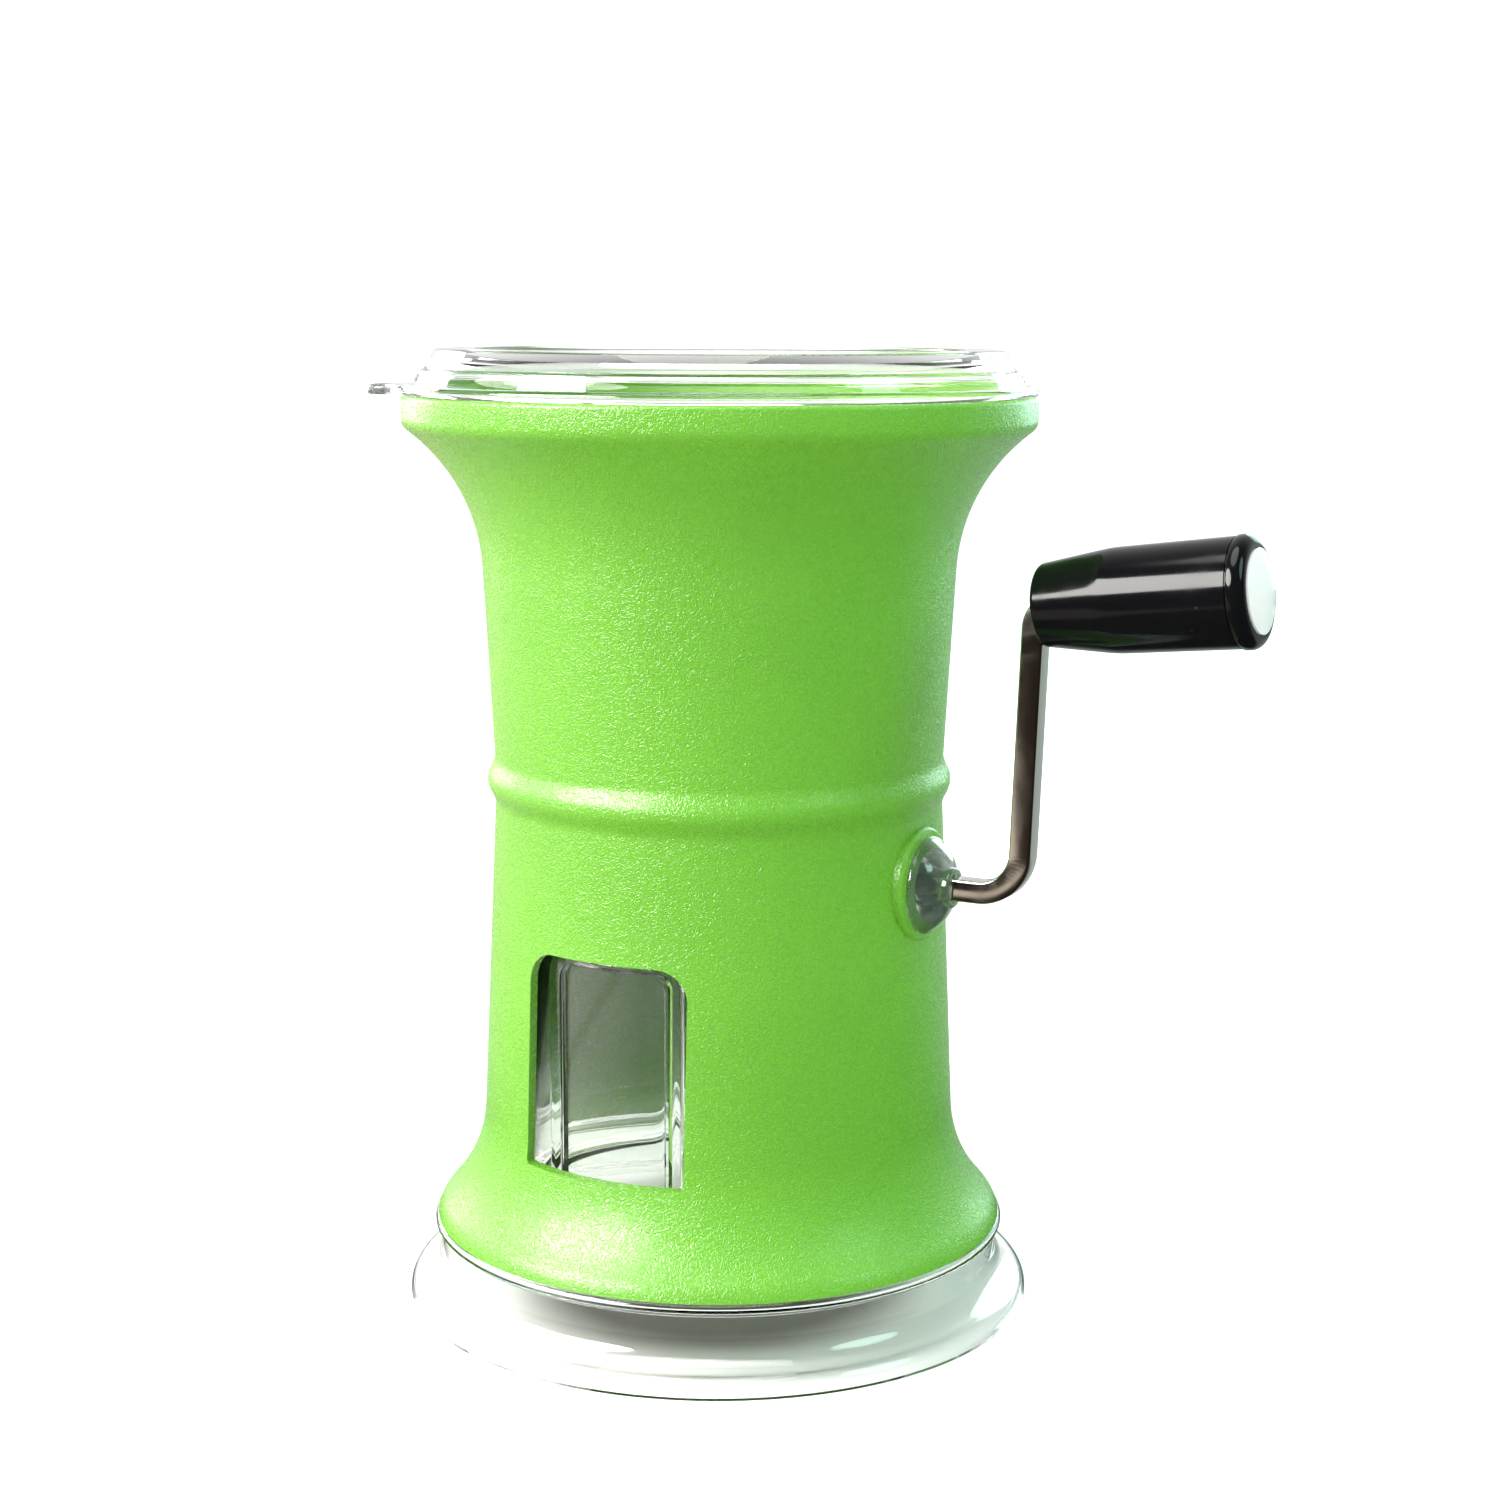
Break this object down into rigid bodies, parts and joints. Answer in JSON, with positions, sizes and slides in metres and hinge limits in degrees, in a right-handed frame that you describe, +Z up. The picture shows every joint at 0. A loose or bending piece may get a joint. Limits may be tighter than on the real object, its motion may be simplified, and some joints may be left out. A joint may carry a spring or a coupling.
{
  "type": "hand-cranked dry fruit cutter",
  "caption": "Waisted green table-top nut cutter with a clear lid, a clear collector foot behind a window, and a bent square crank with a turning grip that drives a toothed rotor between combs.",
  "frame": {"origin": "on the shell's axis, at the plane that the foot stands on", "axes": "+Z up along the shell's axis, -Y out of the window, +X along the crank shaft towards the grip"},
  "size_m": [0.1836, 0.132, 0.1987],
  "materials": {
    "green_plastic": "glossy moulded plastic with a faint grain",
    "clear_plastic": "clear, polished",
    "white_nylon": "satin moulded nylon",
    "blade_steel": "ground stainless steel",
    "screw_steel": "plain stainless steel",
    "rod_chrome": "bright plated",
    "grip_black": "glossy moulded plastic",
    "cap_white": "glossy moulded plastic"
  },
  "bodies": {
    "base": {"collector": "clear_plastic"},
    "housing": {"body_shell": "green_plastic", "hopper": "green_plastic", "cutter_box": "white_nylon", "box_screws": "screw_steel", "comb_front": "blade_steel", "comb_rear": "blade_steel", "comb_screws": "screw_steel", "bearing_near": "white_nylon", "bearing_far": "white_nylon", "crank_bush": "clear_plastic"},
    "cover": {"lid": "clear_plastic"},
    "crank": {"crank_rod": "rod_chrome", "shaft_washer": "screw_steel", "shaft_screw": "screw_steel", "grip_washer": "screw_steel", "grip_screw": "screw_steel", "cutter_blade_1": "blade_steel", "cutter_blade_2": "blade_steel", "cutter_blade_3": "blade_steel", "cutter_blade_4": "blade_steel", "cutter_blade_5": "blade_steel", "cutter_blade_6": "blade_steel", "cutter_blade_7": "blade_steel", "cutter_blade_8": "blade_steel", "blade_spacer_1": "white_nylon", "blade_spacer_2": "white_nylon", "blade_spacer_3": "white_nylon", "blade_spacer_4": "white_nylon", "blade_spacer_5": "white_nylon", "blade_spacer_6": "white_nylon", "blade_spacer_7": "white_nylon", "blade_spacer_8": "white_nylon", "blade_spacer_9": "white_nylon"},
    "handle": {"grip": "grip_black", "grip_cap": "cap_white"}
  },
  "joints": [
    {"name": "shell_lift", "type": "slide", "parent": "base", "child": "housing", "axis": [0, 0, 1], "range_m": [0, 0.09]},
    {"name": "lid_lift", "type": "slide", "parent": "housing", "child": "cover", "axis": [0, 0, 1], "range_m": [0, 0.06]},
    {"name": "crank_turn", "type": "hinge", "parent": "housing", "child": "crank", "pos_m": [0, 0, 0.092], "axis": [1, 0, 0], "continuous": true},
    {"name": "grip_turn", "type": "hinge", "parent": "crank", "child": "handle", "pos_m": [0.07516, 0, 0.1505], "axis": [0.9932, 0, 0.1167], "continuous": true}
  ]
}
